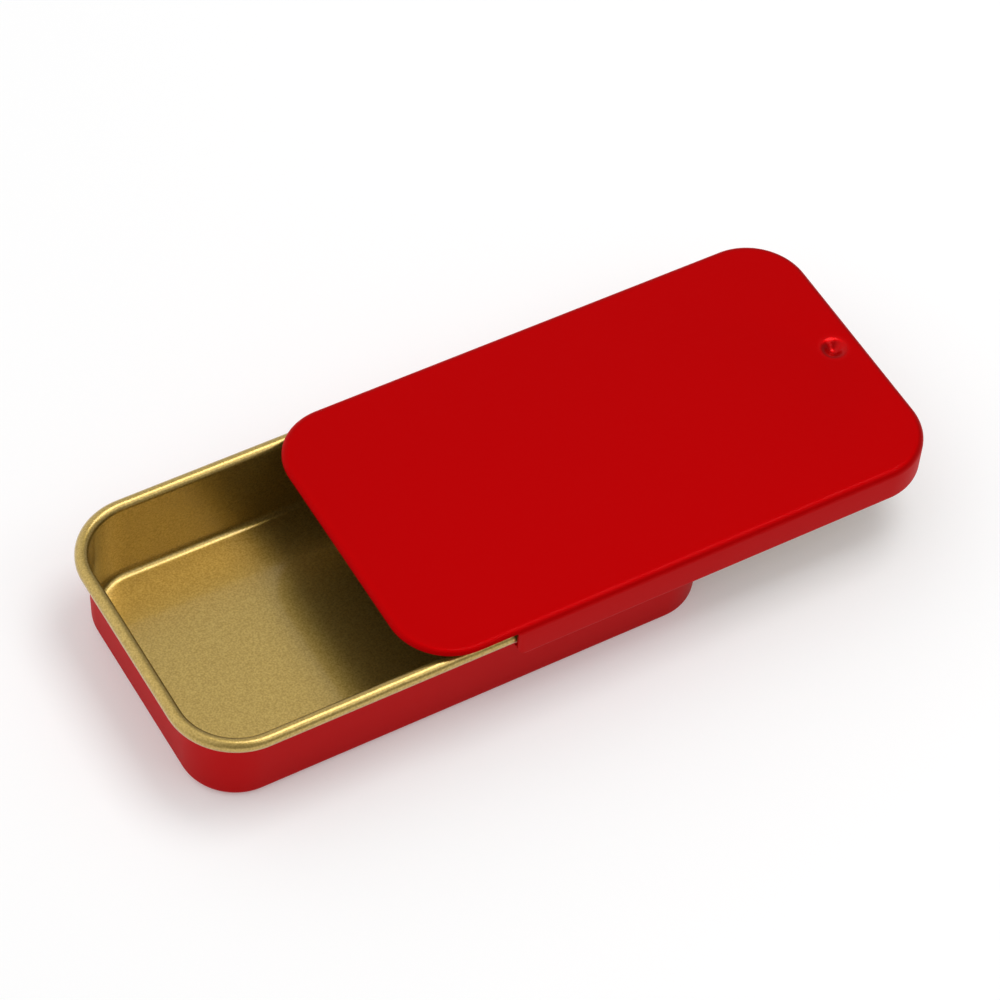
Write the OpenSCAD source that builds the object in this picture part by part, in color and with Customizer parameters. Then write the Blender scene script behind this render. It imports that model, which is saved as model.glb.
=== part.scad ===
// Small slide-top tin: a drawn tray with a rolled rim, and a lid that slides along it.
// X runs along the slide, Z is up, and the origin is the middle of the tray's flat underside.
// Each of the two pressings is red enamel outside and gold lacquer inside, so each is two layers:
// the enamelled tinplate, and the lacquer coat bonded to its inner face. Sizes are in millimetres.

/* [Size] */
// Length of the lid, end to end
lid_l = 60; // [45:0.5:110]
// Width of the lid over its skirts
lid_w = 33.4; // [26:0.1:70]
// Height of the tin with the lid on
tin_h = 11.4; // [9:0.1:25]
// Radius of the lid's corners, seen from above
lid_r = 6.4; // [5:0.1:7]
// Radius of the tray's corners over the rim, seen from above
tray_r = 7.2; // [7:0.1:10]

/* [Sheet] */
// Thickness of the finished sheet, with its coats
sheet = 0.25; // [0.2:0.01:0.3]
// Thickness of the gold lacquer, which is part of the sheet
lacquer = 0.05; // [0.04:0.01:0.1]

/* [Tray] */
// Diameter of the rim, which is rolled outwards
rim_d = 1.4; // [1.3:0.05:1.7]
// How far the wall leans outwards from upright, in degrees, so that the tray comes off its punch
wall_lean = 2.3; // [0:0.1:3]
// Outer radius where the wall turns into the floor
base_r = 1; // [0.6:0.05:1.5]
// Space between the top of the rim and the underside of the lid
rim_gap = 0.9; // [0.2:0.05:1.2]

/* [Lid] */
// Outer radius of the shoulder between the lid's top and its skirt
shoulder_r = 0.75; // [0.65:0.05:1.2]
// Depth of the skirt, from the lid's top to the bottom of its curl
skirt_h = 4.25; // [3.9:0.05:4.6]
// Diameter of the curl along the skirt's bottom edge, which runs under the rim
curl_d = 1.2; // [0.9:0.05:1.3]
// Depth of the turned-down lip round the lid's open end, under the radius of the shoulder
lip_h = 0.4; // [0.35:0.05:0.6]
// Distance from the lid's open end to where its skirts begin
skirt_start = 10.6; // [9:0.1:14]
// Radius of the lower corner where a skirt begins
skirt_corner_r = 2; // [1:0.1:2.5]

/* [Dimple] */
// Width of the dimple pressed into the lid near its closed end
dimple_d = 2.4; // [2:0.1:2.6]
// Depth of the dimple, which stays clear of the rim
dimple_h = 0.75; // [0.4:0.05:0.8]
// Distance from the lid's closed end to the middle of the dimple
dimple_inset = 3; // [2.4:0.1:4]

/* [Slide] */
// Gap between the rim and the skirts along the sides
side_gap = 0.15; // [0.1:0.05:0.4]
// How much shorter the tray is than the inside of the lid, at each end
end_gap = 0.05; // [0.05:0.05:0.2]
// How far the lid is drawn open
lid_open = 23.3; // [0.2:0.1:38]

/* [Hidden] */

$fn = 96;
enamel_red = [0.72, 0.02, 0.05];
lacquer_gold = [0.78, 0.62, 0.32];

// Tray, seen from above
tray_l = lid_l - 2 * (sheet + end_gap);
tray_w = lid_w - 2 * (sheet + side_gap);
tray_h = tin_h - sheet - rim_gap;

// Tray's section, with X measured outwards from a corner's centre. The wall touches the roll and
// the base radius.
rim_r = rim_d / 2;
rim_x = tray_r - rim_r;
rim_z = tray_h - rim_r;
floor_r = base_r - sheet;
floor_x = rim_x - (rim_r + floor_r + (rim_z - base_r) * sin(wall_lean)) / cos(wall_lean);
rim_centre = [rim_x, rim_z];
base_centre = [floor_x, base_r];
wall_out = [cos(wall_lean), -sin(wall_lean)]; // direction square to the wall, outwards
rim_free_edge = -120;

// Lid's section
curl_r = curl_d / 2;
curl_x = lid_r - curl_r;
curl_z = tin_h - skirt_h + curl_r;
curl_free_edge = -220;
shoulder_x = lid_r - shoulder_r;
shoulder_z = tin_h - shoulder_r;

// Dimple: a cap of a sphere, as wide as the dimple where it meets the lid's top
dimple_r = (dimple_d * dimple_d / 4 + dimple_h * dimple_h) / (2 * dimple_h);
dimple_x = lid_l / 2 - dimple_inset;
dimple_z = tin_h - dimple_h + dimple_r;

over = 1; // how far a cutter reaches past what it cuts

// A slice of a disc between two angles, with room to spare round a circle of radius r
module wedge(r, from, to) {
    steps = 6;
    polygon([
        [0, 0],
        for (k = [0:steps]) 4 * r * [cos(from + (to - from) * k / steps), sin(from + (to - from) * k / steps)]
    ]);
}

// The part of a ring that lies between two angles
module ring_arc(r_in, r_out, from, to) {
    intersection() {
        difference() {
            circle(r_out);
            circle(r_in);
        }
        wedge(r_out, from, to);
    }
}

// An upright rectangle from one corner to the other
module strip(low, high) {
    translate(low) square(high - low);
}

// Carries a section round a rounded rectangle. The section's X runs outwards from a corner's centre.
module round_sweep(l, w, r) {
    run = [w - 2 * r, l - 2 * r];
    for (turn = [0:3]) {
        rotate(90 * turn)
            translate([run[(turn + 1) % 2] / 2, 0, 0]) {
                rotate([90, 0, 0])
                    linear_extrude(height = run[turn % 2], center = true) children();
                translate([0, run[turn % 2] / 2, 0])
                    rotate_extrude(angle = 90) children();
            }
    }
}

// The flat middle that the sweep leaves open
module middle_panel(l, w, r, low, high) {
    translate([0, 0, low])
        linear_extrude(height = high - low)
            square([l - 2 * r, w - 2 * r], center = true);
}

// The straight part of the tray's wall, from the base radius up to the roll
module wall_strip(near, far) {
    polygon([
        base_centre + (floor_r + near) * wall_out,
        base_centre + (floor_r + far) * wall_out,
        rim_centre - (rim_r - far) * wall_out,
        rim_centre - (rim_r - near) * wall_out
    ]);
}

// Section of one layer of the tray's sheet, between two depths below its gold face
module tray_section(near, far) {
    strip([0, sheet - far], [floor_x, sheet - near]);
    translate(base_centre) ring_arc(floor_r + near, floor_r + far, -90, -wall_lean);
    wall_strip(near, far);
    translate(rim_centre) ring_arc(rim_r - far, rim_r - near, rim_free_edge, 180 - wall_lean);
}

module tray_layer(near, far) {
    round_sweep(tray_l, tray_w, tray_r) tray_section(near, far);
    middle_panel(tray_l, tray_w, tray_r, sheet - far, sheet - near);
}

// Section of one layer of the lid's sheet, between two depths below its red face
module lid_section(near, far) {
    strip([0, tin_h - far], [shoulder_x, tin_h - near]);
    translate([shoulder_x, shoulder_z]) ring_arc(shoulder_r - far, shoulder_r - near, 0, 90);
    strip([lid_r - far, curl_z], [lid_r - near, shoulder_z]);
    translate([curl_x, curl_z]) ring_arc(curl_r - far, curl_r - near, curl_free_edge, 0);
}

// What is cut away from the skirt at the open end, seen from the side
module skirt_cut_outline() {
    low = tin_h - skirt_h;
    start = skirt_start - lid_l / 2;
    strip([-lid_l / 2 - over, low - over], [start, tin_h - lip_h]);
    difference() {
        strip([start - over, low - over], [start + skirt_corner_r, low + skirt_corner_r]);
        translate([start + skirt_corner_r, low + skirt_corner_r]) circle(skirt_corner_r);
    }
}

module skirt_cut() {
    rotate([90, 0, 0])
        linear_extrude(height = lid_w + 2 * over, center = true) skirt_cut_outline();
}

// One layer of the dimple, between two depths below the lid's red face
module dimple_layer(near, far) {
    translate([dimple_x, 0, dimple_z])
        rotate_extrude()
            intersection() {
                difference() {
                    circle(dimple_r + far);
                    circle(dimple_r + near);
                }
                strip([0, -2 * dimple_r - over], [dimple_r + over, tin_h - near - dimple_z]);
            }
}

// What a layer of the lid gives up to the dimple
module dimple_hole(far) {
    translate([dimple_x, 0, dimple_z]) sphere(dimple_r + far);
}

module lid_layer(near, far) {
    translate([lid_open, 0, 0]) {
        difference() {
            union() {
                round_sweep(lid_l, lid_w, lid_r) lid_section(near, far);
                middle_panel(lid_l, lid_w, lid_r, tin_h - far, tin_h - near);
            }
            skirt_cut();
            dimple_hole(far);
        }
        dimple_layer(near, far);
    }
}

// Enamelled tinplate of the tray: floor, walls and the core of the rolled rim
module tray() {
    color(enamel_red) tray_layer(lacquer, sheet);
}

// Gold lacquer on the tray's inner face, which the roll turns outwards over the rim
module tray_lacquer() {
    color(lacquer_gold) tray_layer(0, lacquer);
}

// Enamelled tinplate of the lid: top, skirts on three sides, curl, lip and dimple
module lid() {
    color(enamel_red) lid_layer(0, sheet - lacquer);
}

// Gold lacquer on the lid's inner face
module lid_lacquer() {
    color(lacquer_gold) lid_layer(sheet - lacquer, sheet);
}

tray();
tray_lacquer();
lid();
lid_lacquer();
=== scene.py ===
"""Slide-top tin: a drawn tray with a rolled rim, and a lid drawn part of the way open along it.

Sizes are in millimetres. A piece is made in millimetres and turned to metres as its last step.
Each of the two pressings is two layers of one sheet: enamelled tinplate, and the gold lacquer on
its inner face.
"""
import math

import bmesh
import bpy
from mathutils import Matrix, Vector


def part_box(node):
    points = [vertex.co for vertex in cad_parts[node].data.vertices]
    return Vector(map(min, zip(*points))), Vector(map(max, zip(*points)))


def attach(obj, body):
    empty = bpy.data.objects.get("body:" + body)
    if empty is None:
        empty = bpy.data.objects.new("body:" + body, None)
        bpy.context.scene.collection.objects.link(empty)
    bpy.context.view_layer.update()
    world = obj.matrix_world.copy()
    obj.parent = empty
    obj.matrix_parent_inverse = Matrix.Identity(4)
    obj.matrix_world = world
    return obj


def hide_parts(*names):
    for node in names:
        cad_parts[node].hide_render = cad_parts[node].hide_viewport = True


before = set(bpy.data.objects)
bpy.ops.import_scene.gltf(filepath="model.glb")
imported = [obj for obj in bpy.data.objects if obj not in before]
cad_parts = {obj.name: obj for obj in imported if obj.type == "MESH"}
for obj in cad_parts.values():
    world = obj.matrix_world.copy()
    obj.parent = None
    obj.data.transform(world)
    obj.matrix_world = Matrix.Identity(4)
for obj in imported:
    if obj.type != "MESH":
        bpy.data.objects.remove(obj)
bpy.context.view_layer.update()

MM = 0.001

# ---- sizes of the pressings, in millimetres -----------------------------------------------------

SHEET = 0.25  # finished sheet, with its coats
LACQUER = 0.05  # gold lacquer, part of the sheet

TRAY_CORNER = 7.2  # corner radius over the rim, from above
RIM_D = 1.4
WALL_LEAN = 2.3  # degrees from upright, outwards
BASE_R = 1.0
RIM_FREE_EDGE = -120  # degrees round the roll

LID_CORNER = 6.4
SHOULDER_R = 0.75
CURL_D = 1.2
CURL_FREE_EDGE = -220  # degrees round the curl
LIP_H = 0.4
SKIRT_START = 10.6  # from the open end to where the skirts begin
SKIRT_CORNER_R = 2.0

DIMPLE_H = 0.75
DIMPLE_MOUTH_R = 0.9  # rounding where the dimple leaves the top
DIMPLE_BOWL_R = 0.75
DIMPLE_SLOPE = 42  # degrees
DIMPLE_FLAT_R = 0.03  # flat in the middle of the dimple
DIMPLE_INSET = 3.0  # from the closed end to the dimple's middle

FLAT_MARGIN = 0.3  # flat strip swept along with a bend, so that the bend's shading ends with it
PATH_SPACING = 0.3  # between the sections round an edge
DIMPLE_SPACING = 0.08  # between the sections round the dimple
CORNER_POINTS = 90  # on each corner, before the path is spaced evenly
WELD = 0.0005  # points closer than this are one
DEGREES_PER_STEP = 7.5  # round a bend of the section
SHARP_DEGREES = 35  # edges that turn by more than this stay sharp


def node_box_mm(node):
    """The low and high corners of a CAD node's box."""
    low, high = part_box(node)
    return low / MM, high / MM


lid_low, lid_high = node_box_mm("lid")
rim_low, rim_high = node_box_mm("tray_lacquer")
# The lip is cut before its bend ends, so the lid's box is a little short of its full length.
LIP_INSET = SHOULDER_R - math.sqrt(SHOULDER_R ** 2 - (SHOULDER_R - LIP_H) ** 2)
LID_L = lid_high.x - lid_low.x + LIP_INSET
LID_W = lid_high.y - lid_low.y
LID_X = lid_high.x - LID_L / 2
LID_TOP = lid_high.z
SKIRT_H = lid_high.z - lid_low.z
DIMPLE_X = LID_L / 2 - DIMPLE_INSET
TRAY_L = rim_high.x - rim_low.x
TRAY_W = rim_high.y - rim_low.y
RIM_TOP = rim_high.z


# ---- sections of the sheet ----------------------------------------------------------------------


def bend(x, z, radius, start, end):
    """Points round an arc of a section, from one angle to the other."""
    steps = max(2, math.ceil(abs(end - start) / DEGREES_PER_STEP))
    angles = [math.radians(start + (end - start) * k / steps) for k in range(steps + 1)]
    return [(x + radius * math.cos(a), z + radius * math.sin(a)) for a in angles]


def tray_face(depth):
    """The tray's section at a depth below its gold face, as distances outwards from the rim's edge and
    heights. The leaning wall touches the rim's roll and the fillet at the floor."""
    rim_r = RIM_D / 2
    rim_z = RIM_TOP - rim_r
    fillet_r = BASE_R - SHEET
    lean = math.radians(WALL_LEAN)
    wall_run = (rim_z - BASE_R) * math.sin(lean)
    floor_x = -rim_r - (rim_r + fillet_r + wall_run) / math.cos(lean)
    floor = [(floor_x - FLAT_MARGIN, SHEET - depth)]
    fillet = bend(floor_x, BASE_R, fillet_r + depth, -90, -WALL_LEAN)
    roll = bend(-rim_r, rim_z, rim_r - depth, 180 - WALL_LEAN, RIM_FREE_EDGE)
    return floor + fillet + roll


def lid_face(depth):
    """The lid's section at a depth below its red face, as distances outwards from the skirt and heights."""
    curl_r = CURL_D / 2
    curl_z = LID_TOP - SKIRT_H + curl_r
    top = [(-SHOULDER_R - FLAT_MARGIN, LID_TOP - depth)]
    shoulder = bend(-SHOULDER_R, LID_TOP - SHOULDER_R, SHOULDER_R - depth, 90, 0)
    curl = bend(-curl_r, curl_z, curl_r - depth, 0, CURL_FREE_EDGE)
    return top + shoulder + curl


def dimple_mouth():
    """Radius at which the dimple leaves the lid's flat top."""
    slope = math.radians(DIMPLE_SLOPE)
    both = DIMPLE_MOUTH_R + DIMPLE_BOWL_R
    straight = (DIMPLE_H - both * (1 - math.cos(slope))) / math.sin(slope)
    return both * math.sin(slope) + straight * math.cos(slope) + DIMPLE_FLAT_R


def dimple_face(depth):
    """The dimple's section at a depth below the red face, as distances outwards from its mouth and
    heights."""
    mouth_z = LID_TOP - DIMPLE_MOUTH_R
    mouth_bend = bend(0, mouth_z, DIMPLE_MOUTH_R - depth, 90, 90 + DIMPLE_SLOPE)
    bowl_z = LID_TOP - DIMPLE_H + DIMPLE_BOWL_R
    bowl = bend(DIMPLE_FLAT_R - dimple_mouth(), bowl_z, DIMPLE_BOWL_R + depth, DIMPLE_SLOPE - 90, -90)
    return mouth_bend + bowl


def layer_section(face, near, far):
    """Outline of one layer of the sheet: along one face and back along the other."""
    return face(near) + face(far)[::-1]


# ---- Geometry Nodes: a section carried round a rounded rectangle --------------------------------


def add_node(tree, kind, links=None, **settings):
    """Adds a node. Settings name its properties or its inputs; links map an input to another node's
    output."""
    node = tree.nodes.new(kind)
    for name, value in settings.items():
        if hasattr(node, name):
            setattr(node, name, value)
        else:
            node.inputs[name.replace("_", " ")].default_value = value
    for name, source in (links or {}).items():
        tree.links.new(source, node.inputs[name])
    return node


def pressing_tree():
    """Node tree that carries a section round a rounded rectangle, and its inputs' identifiers. The
    section's X points outwards and its Y up."""
    tree = bpy.data.node_groups.new("pressed_sheet_edge", "GeometryNodeTree")
    sockets = {}
    tree.interface.new_socket("Section", in_out="INPUT", socket_type="NodeSocketGeometry")
    for name in ("Length", "Width", "Corner Radius", "Spacing"):
        sockets[name] = tree.interface.new_socket(name, in_out="INPUT", socket_type="NodeSocketFloat")
    sockets["Material"] = tree.interface.new_socket("Material", in_out="INPUT",
                                                    socket_type="NodeSocketMaterial")
    tree.interface.new_socket("Pressing", in_out="OUTPUT", socket_type="NodeSocketGeometry")

    given = add_node(tree, "NodeGroupInput").outputs
    upright = add_node(tree, "GeometryNodeTransform", {"Geometry": given["Section"]}, Scale=(1, -1, 1))
    section = add_node(tree, "GeometryNodeMeshToCurve", {"Mesh": upright.outputs["Geometry"]})
    sides = add_node(tree, "GeometryNodeCurvePrimitiveQuadrilateral",
                     {"Width": given["Length"], "Height": given["Width"]})
    corners = add_node(tree, "GeometryNodeFilletCurve",
                       {"Curve": sides.outputs["Curve"], "Radius": given["Corner Radius"]},
                       mode="POLY", Count=CORNER_POINTS)
    path = add_node(tree, "GeometryNodeResampleCurve",
                    {"Curve": corners.outputs["Curve"], "Length": given["Spacing"]}, mode="LENGTH")
    swept = add_node(tree, "GeometryNodeCurveToMesh",
                     {"Curve": path.outputs["Curve"], "Profile Curve": section.outputs["Curve"]})
    welded = add_node(tree, "GeometryNodeMergeByDistance", {"Geometry": swept.outputs["Mesh"]},
                      Distance=WELD)
    real = add_node(tree, "GeometryNodeRealizeInstances", {"Geometry": welded.outputs["Geometry"]})
    finish = add_node(tree, "GeometryNodeSetMaterial",
                      {"Geometry": real.outputs["Geometry"], "Material": given["Material"]})
    end = add_node(tree, "NodeGroupOutput")
    tree.links.new(finish.outputs["Geometry"], end.inputs["Pressing"])
    return tree, {name: socket.identifier for name, socket in sockets.items()}


PRESSING, PRESSING_INPUT = pressing_tree()


def mesh_object(name, mesh):
    """A new object in the scene, at the origin, that holds the mesh."""
    piece = bpy.data.objects.new(name, mesh)
    bpy.context.scene.collection.objects.link(piece)
    return piece


def applied(piece):
    """The piece's mesh with its modifiers worked out."""
    bpy.context.view_layer.update()
    evaluated = piece.evaluated_get(bpy.context.evaluated_depsgraph_get())
    return bpy.data.meshes.new_from_object(evaluated)


def swept_edge(section, length, width, corner, spacing, material):
    """Mesh of a section carried round a rounded rectangle, centred on the origin."""
    line = bpy.data.meshes.new("section")
    line.from_pydata([(x, z, 0) for x, z in section], [(k, k + 1) for k in range(len(section) - 1)], [])
    carrier = mesh_object("section", line)
    pressing = carrier.modifiers.new("pressing", "NODES")
    pressing.node_group = PRESSING
    values = {"Length": length, "Width": width, "Corner Radius": corner, "Spacing": spacing,
              "Material": material}
    for name, value in values.items():
        pressing[PRESSING_INPUT[name]] = value
    mesh = applied(carrier)
    bpy.data.objects.remove(carrier)
    return mesh


# ---- materials ----------------------------------------------------------------------------------

PEEL = 1.4  # width of a swell of the sprayed enamel
FLAKE = 0.25  # of the enamel
ENAMEL_RELIEF = 0.01  # height of the swells and of the flake
GRAIN = 0.12  # of the lacquer
GRAIN_RELIEF = 0.03
FLECK = 0.2  # of lighter or darker gold
PUNCHED_R = 1.2  # the dimple's punch burnished the enamel this far from the dimple's middle
UNPUNCHED_R = 1.9  # and left it alone from here on


def srgb(hex_colour):
    """An sRGB hex colour as a linear RGBA value."""
    channels = [int(hex_colour[k:k + 2], 16) / 255 for k in (1, 3, 5)]
    linear = [c / 12.92 if c <= 0.04045 else ((c + 0.055) / 1.055) ** 2.4 for c in channels]
    return (*linear, 1.0)


def new_material(name):
    """A material with an empty node tree, and the tree."""
    material = bpy.data.materials.new(name)
    material.use_nodes = True
    material.node_tree.nodes.clear()
    return material, material.node_tree


def red_enamel():
    """Stoved red enamel over tinplate: a clear red coat through which the metal shines, so its gloss is
    red when seen square on and turns pale at a glancing angle. It swells a little, as sprayed coats do,
    over a fine flake. In the dimple it is burnished by the punch, which gives a small hard highlight."""
    material, tree = new_material("stoved_red_enamel_on_tinplate")
    place = add_node(tree, "ShaderNodeTexCoord").outputs["Object"]
    peel = add_node(tree, "ShaderNodeTexNoise", {"Vector": place}, Scale=1 / (PEEL * MM), Detail=1.0)
    swell = add_node(tree, "ShaderNodeBump", {"Height": peel.outputs["Fac"]},
                     Strength=0.2, Distance=ENAMEL_RELIEF * MM)
    flake = add_node(tree, "ShaderNodeTexNoise", {"Vector": place}, Scale=1 / (FLAKE * MM), Detail=2.0)
    bump = add_node(tree, "ShaderNodeBump",
                    {"Height": flake.outputs["Fac"], "Normal": swell.outputs["Normal"]},
                    Strength=0.25, Distance=ENAMEL_RELIEF * MM)
    away = add_node(tree, "ShaderNodeVectorMath", {0: place}, operation="DISTANCE")
    away.inputs[1].default_value = ((LID_X + DIMPLE_X) * MM, 0, LID_TOP * MM)
    inputs = {"Normal": bump.outputs["Normal"]}
    for name, punched, plain in (("Roughness", 0.38, 0.62), ("Coat Weight", 0.16, 0.03)):
        level = add_node(tree, "ShaderNodeMapRange", {"Value": away.outputs["Value"]},
                         interpolation_type="SMOOTHSTEP", From_Min=PUNCHED_R * MM,
                         From_Max=UNPUNCHED_R * MM, To_Min=punched, To_Max=plain)
        inputs[name] = level.outputs["Result"]
    shader = add_node(tree, "ShaderNodeBsdfPrincipled", inputs, Base_Color=srgb("#be0003"),
                      Metallic=1.0, Specular_Tint=srgb("#fff3f3"), Coat_Roughness=0.1)
    out = add_node(tree, "ShaderNodeOutputMaterial")
    tree.links.new(shader.outputs["BSDF"], out.inputs["Surface"])
    return material


def gold_lacquer():
    """Sprayed gold lacquer on the tin's inner face: a warm metal that also scatters a little light, with
    flecks of lighter and darker gold and a sandy grain, under a clear gloss. The flecks and the grain are
    drawn a little coarser than they are, to show."""
    material, tree = new_material("sprayed_gold_lacquer_on_tinplate")
    place = add_node(tree, "ShaderNodeTexCoord").outputs["Object"]
    grain = add_node(tree, "ShaderNodeTexNoise", {"Vector": place}, Scale=1 / (GRAIN * MM), Detail=1.0)
    bump = add_node(tree, "ShaderNodeBump", {"Height": grain.outputs["Fac"]},
                    Strength=0.35, Distance=GRAIN_RELIEF * MM)
    fleck = add_node(tree, "ShaderNodeTexNoise", {"Vector": place}, Scale=1 / (FLECK * MM), Detail=3.0)
    contrast = add_node(tree, "ShaderNodeMapRange", {"Value": fleck.outputs["Fac"]},
                        From_Min=0.3, From_Max=0.7)
    tone = add_node(tree, "ShaderNodeMix", {"Factor": contrast.outputs["Result"]}, data_type="RGBA")
    tone.inputs["A"].default_value = srgb("#a6893f")
    tone.inputs["B"].default_value = srgb("#cbad5d")
    shader = add_node(tree, "ShaderNodeBsdfPrincipled",
                      {"Normal": bump.outputs["Normal"], "Base Color": tone.outputs["Result"]},
                      Metallic=0.85, Roughness=0.29, Coat_Weight=0.8, Coat_Roughness=0.1)
    out = add_node(tree, "ShaderNodeOutputMaterial")
    tree.links.new(shader.outputs["BSDF"], out.inputs["Surface"])
    return material


RED = red_enamel()
GOLD = gold_lacquer()


# ---- pieces -------------------------------------------------------------------------------------


def close_flats(mesh):
    """Fills the flat panels that the swept edges leave open, on each face of the layer."""
    shell = bmesh.new()
    shell.from_mesh(mesh)
    rings = {}
    for edge in shell.edges:
        if edge.is_boundary:
            rings.setdefault(round(edge.verts[0].co.z, 2), []).append(edge)
    for ring in rings.values():
        bmesh.ops.triangle_fill(shell, use_beauty=True, edges=ring)
    bmesh.ops.recalc_face_normals(shell, faces=shell.faces)
    if shell.calc_volume(signed=True) < 0:
        bmesh.ops.reverse_faces(shell, faces=shell.faces)
    shell.to_mesh(mesh)
    shell.free()


def join_meshes(first, second, offset):
    """Adds the second mesh to the first, moved by an offset."""
    both = bmesh.new()
    both.from_mesh(first)
    second.transform(Matrix.Translation(offset))
    both.from_mesh(second)
    both.to_mesh(first)
    both.free()
    bpy.data.meshes.remove(second)


def skirt_cutter():
    """Prism that takes the skirts away at the lid's open end, in the lid's own place round the origin.
    What it cuts is enamelled, as the sheet's edge is after the last coat."""
    reach = 1.0
    low = LID_TOP - SKIRT_H
    start = SKIRT_START - LID_L / 2
    outline = [(-LID_L / 2 - reach, LID_TOP - LIP_H), (-LID_L / 2 - reach, low - reach)]
    outline += [(start + SKIRT_CORNER_R, low - reach)]
    outline += bend(start + SKIRT_CORNER_R, low + SKIRT_CORNER_R, SKIRT_CORNER_R, -90, -180)
    outline += [(start, LID_TOP - LIP_H)]
    prism = bmesh.new()
    half = LID_W / 2 + reach
    face = prism.faces.new([prism.verts.new((x, -half, z)) for x, z in outline])
    pushed = bmesh.ops.extrude_face_region(prism, geom=[face])["geom"]
    moved = [item for item in pushed if isinstance(item, bmesh.types.BMVert)]
    bmesh.ops.translate(prism, verts=moved, vec=(0, 2 * half, 0))
    bmesh.ops.recalc_face_normals(prism, faces=prism.faces)
    mesh = bpy.data.meshes.new("skirt_cutter")
    prism.to_mesh(mesh)
    prism.free()
    mesh.materials.append(RED)
    return mesh_object("skirt_cutter", mesh)


def without_open_end_skirts(mesh):
    """The lid's layer with its skirts cut back from the open end."""
    blank = mesh_object("blank", mesh)
    cutter = skirt_cutter()
    cut = blank.modifiers.new("cut", "BOOLEAN")
    cut.operation = "DIFFERENCE"
    cut.solver = "EXACT"
    cut.material_mode = "TRANSFER"
    cut.object = cutter
    result = applied(blank)
    bpy.data.objects.remove(blank)
    bpy.data.objects.remove(cutter)
    return result


def tray_layer(near, far, material):
    """One layer of the tray's sheet, between two depths below its gold face."""
    mesh = swept_edge(layer_section(tray_face, near, far), TRAY_L, TRAY_W, TRAY_CORNER, PATH_SPACING,
                      material)
    close_flats(mesh)
    return mesh


def lid_layer(near, far, material):
    """One layer of the lid's sheet, between two depths below its red face, with its dimple."""
    mesh = swept_edge(layer_section(lid_face, near, far), LID_L, LID_W, LID_CORNER, PATH_SPACING,
                      material)
    mouth = dimple_mouth()
    for face in (dimple_face(near), dimple_face(far)[::-1]):
        dimple = swept_edge(face, 2 * mouth, 2 * mouth, mouth, DIMPLE_SPACING, material)
        join_meshes(mesh, dimple, (DIMPLE_X, 0, 0))
    close_flats(mesh)
    return without_open_end_skirts(mesh)


def finish_piece(name, mesh, x, body, node):
    """Turns a mesh in millimetres to a piece in metres, at its place along the slide and on its body, that
    replaces a CAD node."""
    mesh.transform(Matrix.Scale(MM, 4) @ Matrix.Translation((x, 0, 0)))
    mesh.shade_smooth()
    mesh.set_sharp_from_angle(angle=math.radians(SHARP_DEGREES))
    mesh.name = name
    piece = mesh_object(name, mesh)
    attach(piece, body)
    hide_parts(node)


tray_sheet = tray_layer(LACQUER, SHEET, RED)
tray_coat = tray_layer(0, LACQUER, GOLD)
lid_sheet = lid_layer(0, SHEET - LACQUER, RED)
lid_coat = lid_layer(SHEET - LACQUER, SHEET, GOLD)

finish_piece("tray_enamelled_sheet", tray_sheet, 0, "tin_tray", "tray")
finish_piece("tray_gold_coat", tray_coat, 0, "tin_tray", "tray_lacquer")
finish_piece("lid_enamelled_sheet", lid_sheet, LID_X, "slide_lid", "lid")
finish_piece("lid_gold_coat", lid_coat, LID_X, "slide_lid", "lid_lacquer")


# ---- camera, at the photograph's angle ----------------------------------------------------------

AZIMUTH = -33.925  # degrees, from looking along +Y
ELEVATION = 51.038
ROLL = 5.377
FOCAL_PX = 4160.4  # focal length in pixels of a picture 1000 pixels wide
PICTURE_PX = 1000
DISTANCE = 413.3
AIM = Vector((12.718, 1.826, 6.0))


def photo_camera():
    """The camera that took the photograph, as fitted to the tin's edges."""
    azimuth, elevation, roll = (math.radians(a) for a in (AZIMUTH, ELEVATION, ROLL))
    back = Vector((math.sin(azimuth) * math.cos(elevation), -math.cos(azimuth) * math.cos(elevation),
                   math.sin(elevation)))
    level = Vector((math.cos(azimuth), math.sin(azimuth), 0))
    upright = back.cross(level)
    right = math.cos(roll) * level + math.sin(roll) * upright
    up = math.cos(roll) * upright - math.sin(roll) * level
    data = bpy.data.cameras.new("photo_camera")
    data.sensor_width = 36
    data.lens = data.sensor_width * FOCAL_PX / PICTURE_PX
    data.clip_start = 0.01
    camera = bpy.data.objects.new("photo_camera", data)
    bpy.context.scene.collection.objects.link(camera)
    turn = Matrix((right, up, back)).transposed()
    camera.matrix_world = Matrix.Translation((AIM + back * DISTANCE) * MM) @ turn.to_4x4()
    bpy.context.scene.camera = camera


# ---- floor and light, in metres -----------------------------------------------------------------

FLOOR_HALF = 3.0
FLOOR_LIFT = 0.19  # what the floor shows on top of the light on it, where 1 is white

BRIGHTEST = (-0.6, 0.6, 0.5)  # towards the brightest part of the room
DIM_COSINE = 0.1  # the room is dim where the cosine of the angle from there is less than this
DIM_LEVEL = 0.36
BRIGHT_LEVEL = 1.05

LAMP_DISTANCE = 0.8
KEY_TOWARDS = (0.33, 0.03, 0.94)
KEY_SIZE = 0.4
KEY_BRIGHTNESS = 3.8
FRONT_TOWARDS = (0.35, -0.47, 0.81)
FRONT_SIZE = 0.5
FRONT_BRIGHTNESS = 1.1


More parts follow.
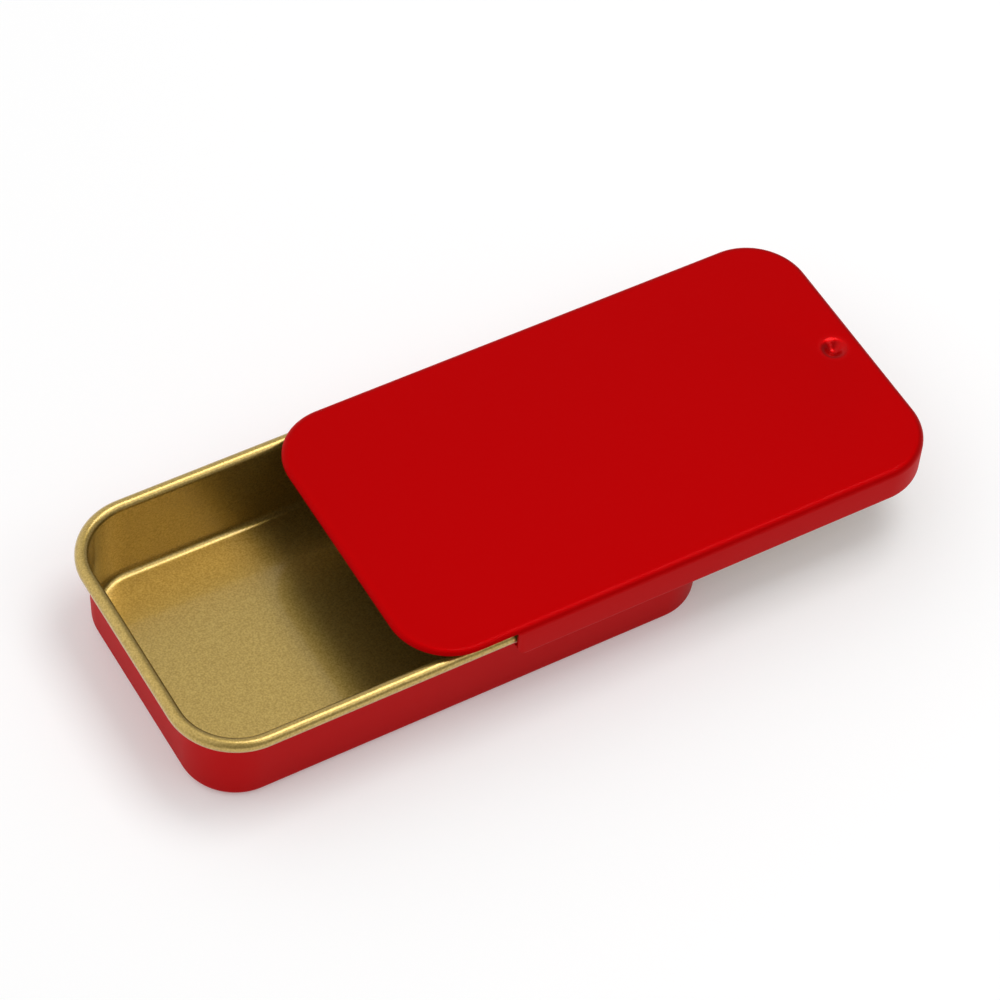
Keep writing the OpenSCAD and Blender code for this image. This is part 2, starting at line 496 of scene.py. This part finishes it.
def pale_floor():
    """A plain pale floor. It keeps the tin's shadow, and is lifted to white where nothing shades it."""
    material, tree = new_material("pale_floor")
    ray = add_node(tree, "ShaderNodeLightPath").outputs
    mirrored = add_node(tree, "ShaderNodeMath",
                        {0: ray["Is Glossy Ray"], 1: ray["Is Transmission Ray"]}, operation="MAXIMUM")
    seen = add_node(tree, "ShaderNodeMath", {0: ray["Is Camera Ray"], 1: mirrored.outputs[0]},
                    operation="MAXIMUM")
    lift = add_node(tree, "ShaderNodeMath", {0: seen.outputs[0]}, operation="MULTIPLY")
    lift.inputs[1].default_value = FLOOR_LIFT
    shader = add_node(tree, "ShaderNodeBsdfPrincipled", {"Emission Strength": lift.outputs[0]},
                      Base_Color=srgb("#ebebeb"), Roughness=0.9, Specular_IOR_Level=0.0,
                      Emission_Color=(1, 1, 1, 1))
    out = add_node(tree, "ShaderNodeOutputMaterial")
    tree.links.new(shader.outputs["BSDF"], out.inputs["Surface"])
    sheet = bmesh.new()
    bmesh.ops.create_grid(sheet, x_segments=1, y_segments=1, size=FLOOR_HALF)
    mesh = bpy.data.meshes.new("floor")
    sheet.to_mesh(mesh)
    sheet.free()
    mesh.materials.append(material)
    mesh_object("floor", mesh)


def softbox(name, towards, size, brightness):
    """A square lamp that faces the tin from a direction. With a brightness of 1 it would look white."""
    lamp = bpy.data.lights.new(name, "AREA")
    lamp.shape = "SQUARE"
    lamp.size = size
    lamp.energy = brightness * math.pi * size * size
    holder = bpy.data.objects.new(name, lamp)
    bpy.context.scene.collection.objects.link(holder)
    direction = Vector(towards).normalized()
    holder.location = direction * LAMP_DISTANCE
    holder.rotation_euler = direction.to_track_quat("Z", "Y").to_euler()


def studio_light():
    """A room that is bright behind the tin on the left and dim elsewhere, with two softboxes: one
    overhead, and a weaker one in front on the right."""
    world = bpy.data.worlds.new("studio")
    world.use_nodes = True
    tree = world.node_tree
    tree.nodes.clear()
    direction = add_node(tree, "ShaderNodeTexCoord").outputs["Generated"]
    nearness = add_node(tree, "ShaderNodeVectorMath", {0: direction}, operation="DOT_PRODUCT")
    nearness.inputs[1].default_value = Vector(BRIGHTEST).normalized()
    level = add_node(tree, "ShaderNodeMapRange", {"Value": nearness.outputs["Value"]},
                     interpolation_type="SMOOTHSTEP", From_Min=DIM_COSINE, From_Max=1.0,
                     To_Min=DIM_LEVEL, To_Max=BRIGHT_LEVEL)
    room = add_node(tree, "ShaderNodeBackground", {"Strength": level.outputs["Result"]},
                    Color=(1, 1, 1, 1))
    out = add_node(tree, "ShaderNodeOutputWorld")
    tree.links.new(room.outputs[0], out.inputs["Surface"])
    bpy.context.scene.world = world
    softbox("key_softbox", KEY_TOWARDS, KEY_SIZE, KEY_BRIGHTNESS)
    softbox("front_softbox", FRONT_TOWARDS, FRONT_SIZE, FRONT_BRIGHTNESS)


photo_camera()
pale_floor()
studio_light()
bpy.context.scene.view_settings.view_transform = "Standard"
